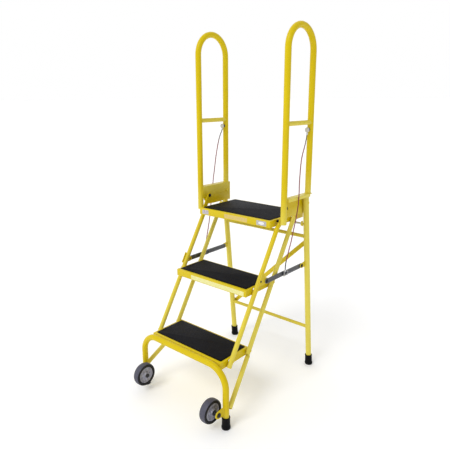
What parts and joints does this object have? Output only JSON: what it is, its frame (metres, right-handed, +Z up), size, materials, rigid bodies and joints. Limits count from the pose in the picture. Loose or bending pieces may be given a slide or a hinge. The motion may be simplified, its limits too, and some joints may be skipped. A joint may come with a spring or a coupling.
{
  "type": "mobile ladder stand",
  "caption": "Folding steel ladder stand with matted treads, tall looped handrails, hinged rear legs, locking spreaders and front wheels",
  "frame": {"origin": "on the floor, midway between the sides and midway between the fronts of the wheels and the backs of the rear feet", "axes": "+X to the climber's right, +Y away from the climber, +Z up"},
  "size_m": [0.5086, 0.726, 1.52],
  "materials": {
    "yellow_paint": "glossy safety-yellow powder coat",
    "mat_rubber": "matt ribbed anti-slip mat",
    "foot_rubber": "satin moulded rubber boot",
    "tyre_rubber": "satin dark grey solid tyre",
    "hub_plastic": "turned grey hub",
    "knob_plastic": "pale grey moulded knob",
    "link_steel": "dark grey satin finish",
    "zinc_steel": "bright zinc plate",
    "black_bolts": "black oxide",
    "cord_fibre": "braided dark red cord"
  },
  "bodies": {
    "base": {"front_hoop": "yellow_paint", "right_front_strut": "yellow_paint", "left_front_strut": "yellow_paint", "right_front_foot": "foot_rubber", "left_front_foot": "foot_rubber", "right_wheel_bracket": "yellow_paint", "left_wheel_bracket": "yellow_paint", "right_axle_bolt": "black_bolts", "left_axle_bolt": "black_bolts", "bottom_tread": "yellow_paint", "bottom_mat": "mat_rubber"},
    "right_wheel": {"right_tyre": "tyre_rubber", "right_wheel_hub": "hub_plastic"},
    "left_wheel": {"left_tyre": "tyre_rubber", "left_wheel_hub": "hub_plastic"},
    "front_rails": {"right_front_rail": "yellow_paint", "left_front_rail": "yellow_paint", "right_spreader_bracket": "yellow_paint", "left_spreader_bracket": "yellow_paint", "right_platform_pivot_bolt": "black_bolts", "left_platform_pivot_bolt": "black_bolts"},
    "rear_rails": {"right_rear_rail": "yellow_paint", "left_rear_rail": "yellow_paint"},
    "middle_step": {"middle_tread": "yellow_paint", "middle_mat": "mat_rubber"},
    "platform": {"platform_tread": "yellow_paint", "platform_mat": "mat_rubber"},
    "handrails": {"right_side_bracket": "yellow_paint", "left_side_bracket": "yellow_paint", "right_handrail": "yellow_paint", "left_handrail": "yellow_paint", "right_handrail_bar": "yellow_paint", "left_handrail_bar": "yellow_paint", "right_cord_knob": "knob_plastic", "left_cord_knob": "knob_plastic", "right_pull_cord": "cord_fibre", "left_pull_cord": "cord_fibre", "right_top_pivot_bolt": "black_bolts", "left_top_pivot_bolt": "black_bolts", "right_leg_pivot_bolt": "yellow_paint", "left_leg_pivot_bolt": "yellow_paint"},
    "rear_legs": {"right_rear_leg": "yellow_paint", "left_rear_leg": "yellow_paint", "right_rear_foot": "foot_rubber", "left_rear_foot": "foot_rubber", "right_leg_tab": "yellow_paint", "left_leg_tab": "yellow_paint", "right_spreader_lug": "yellow_paint", "left_spreader_lug": "yellow_paint", "upper_crossbar": "yellow_paint", "lower_crossbar": "yellow_paint", "diagonal_brace": "yellow_paint", "rest_rod": "zinc_steel"},
    "right_front_link": {"right_front_link": "link_steel"},
    "left_front_link": {"left_front_link": "link_steel"},
    "right_rear_link": {"right_rear_link": "link_steel", "right_spreader_latch": "zinc_steel"},
    "left_rear_link": {"left_rear_link": "link_steel", "left_spreader_latch": "zinc_steel"}
  },
  "joints": [
    {"name": "fold", "type": "hinge", "parent": "base", "child": "front_rails", "pos_m": [0, -0.2026, 0.248], "axis": [1, 0, 0], "range_deg": [0, 31.2], "deforming": ["right_pull_cord", "left_pull_cord"]},
    {"name": "rear_rail_pivot", "type": "hinge", "parent": "base", "child": "rear_rails", "pos_m": [0, -0.0921, 0.248], "axis": [1, 0, 0], "range_deg": [0, 31.4]},
    {"name": "middle_step_pivot", "type": "hinge", "parent": "front_rails", "child": "middle_step", "pos_m": [0, -0.0503, 0.4995], "axis": [1, 0, 0], "range_deg": [-31.4, 0]},
    {"name": "platform_pivot", "type": "hinge", "parent": "front_rails", "child": "platform", "pos_m": [0, 0.102, 0.751], "axis": [1, 0, 0], "range_deg": [-31.4, 0]},
    {"name": "handrail_pivot", "type": "hinge", "parent": "front_rails", "child": "handrails", "pos_m": [0, 0.134, 0.801], "axis": [1, 0, 0], "range_deg": [-31.4, 0]},
    {"name": "leg_pivot", "type": "hinge", "parent": "handrails", "child": "rear_legs", "pos_m": [0, 0.26334, 0.806], "axis": [1, 0, 0], "range_deg": [-5.95, 0]},
    {"name": "right_front_link_pivot", "type": "hinge", "parent": "front_rails", "child": "right_front_link", "pos_m": [0.221, 0.002, 0.524], "axis": [1, 0, 0], "range_deg": [0, 71.65]},
    {"name": "left_front_link_pivot", "type": "hinge", "parent": "front_rails", "child": "left_front_link", "pos_m": [-0.221, 0.002, 0.524], "axis": [1, 0, 0], "range_deg": [0, 71.65]},
    {"name": "right_rear_link_pivot", "type": "hinge", "parent": "rear_legs", "child": "right_rear_link", "pos_m": [0.225, 0.251, 0.524], "axis": [1, 0, 0], "range_deg": [-41.07, 0]},
    {"name": "left_rear_link_pivot", "type": "hinge", "parent": "rear_legs", "child": "left_rear_link", "pos_m": [-0.225, 0.251, 0.524], "axis": [1, 0, 0], "range_deg": [-41.07, 0]},
    {"name": "right_wheel_spin", "type": "hinge", "parent": "base", "child": "right_wheel", "pos_m": [0.195, -0.314, 0.082], "axis": [1, 0, 0], "continuous": true},
    {"name": "left_wheel_spin", "type": "hinge", "parent": "base", "child": "left_wheel", "pos_m": [-0.195, -0.314, 0.082], "axis": [1, 0, 0], "continuous": true}
  ],
  "couplings": [
    {"joint": "rear_rail_pivot", "follows": "fold", "ratio": 1},
    {"joint": "middle_step_pivot", "follows": "fold", "ratio": -1},
    {"joint": "platform_pivot", "follows": "fold", "ratio": -1},
    {"joint": "handrail_pivot", "follows": "fold", "ratio": -1},
    {"joint": "leg_pivot", "follows": "fold", "ratio": -0.18429},
    {"joint": "right_front_link_pivot", "follows": "fold", "ratio": 2.29},
    {"joint": "left_front_link_pivot", "follows": "fold", "ratio": 2.29},
    {"joint": "right_rear_link_pivot", "follows": "fold", "ratio": -1.31},
    {"joint": "left_rear_link_pivot", "follows": "fold", "ratio": -1.31}
  ]
}
